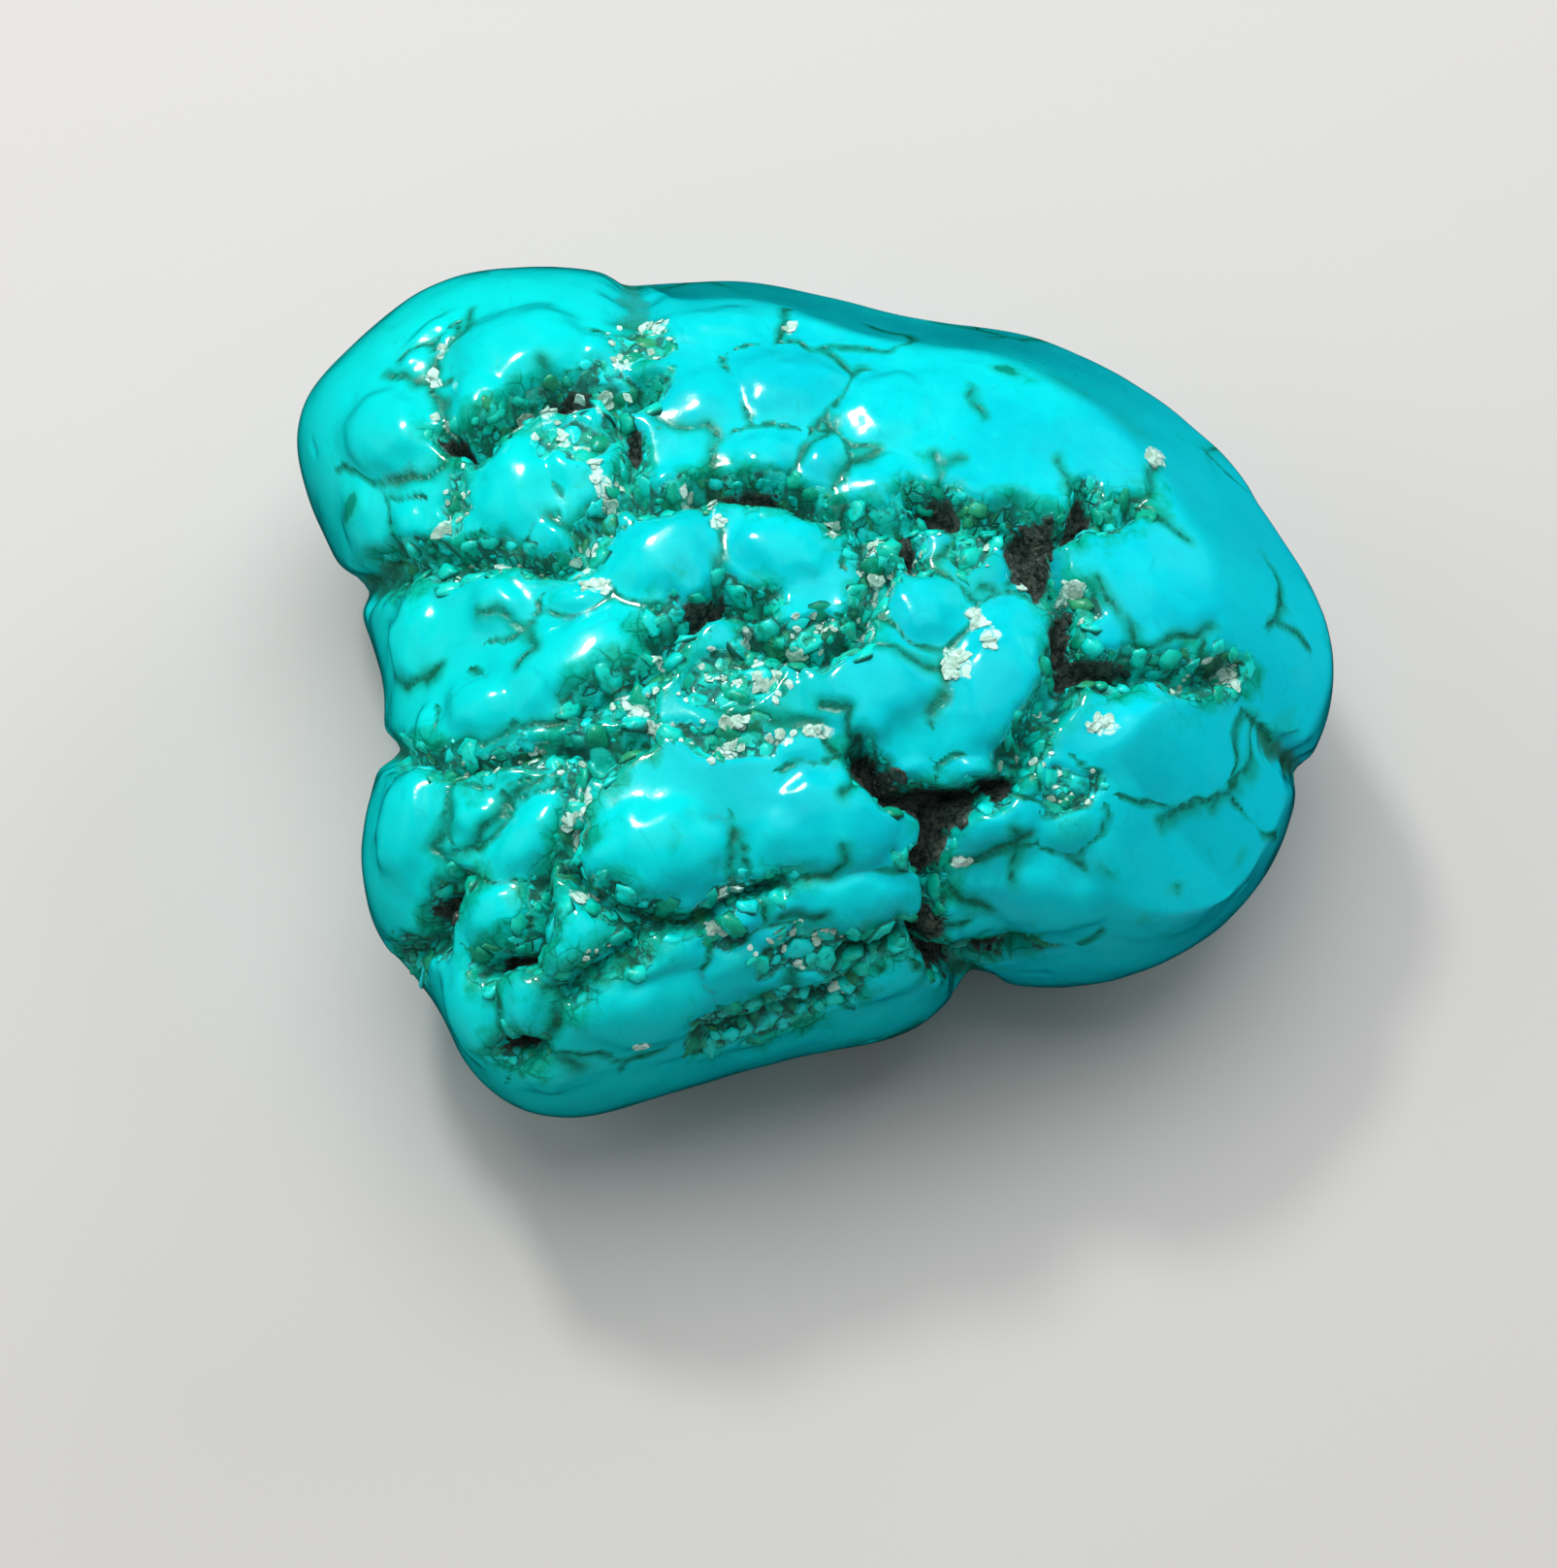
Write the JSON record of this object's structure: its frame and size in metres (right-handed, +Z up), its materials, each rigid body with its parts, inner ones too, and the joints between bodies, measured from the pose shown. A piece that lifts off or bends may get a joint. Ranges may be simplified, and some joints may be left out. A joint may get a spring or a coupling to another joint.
{
  "type": "raw turquoise nugget",
  "caption": "Tumbled raw turquoise nugget of fused round lumps with dark gaps, polished, lying on a worn flat underside.",
  "frame": {"origin": "middle of the worn flat underside that the stone rests on", "axes": "+X along the stone's length towards its smooth right end, +Y to the back across its width, +Z up"},
  "size_m": [0.0411, 0.0372, 0.0174],
  "materials": {
    "turquoise": "gloss"
  },
  "bodies": {
    "root": {"nugget": "turquoise"}
  },
  "joints": []
}
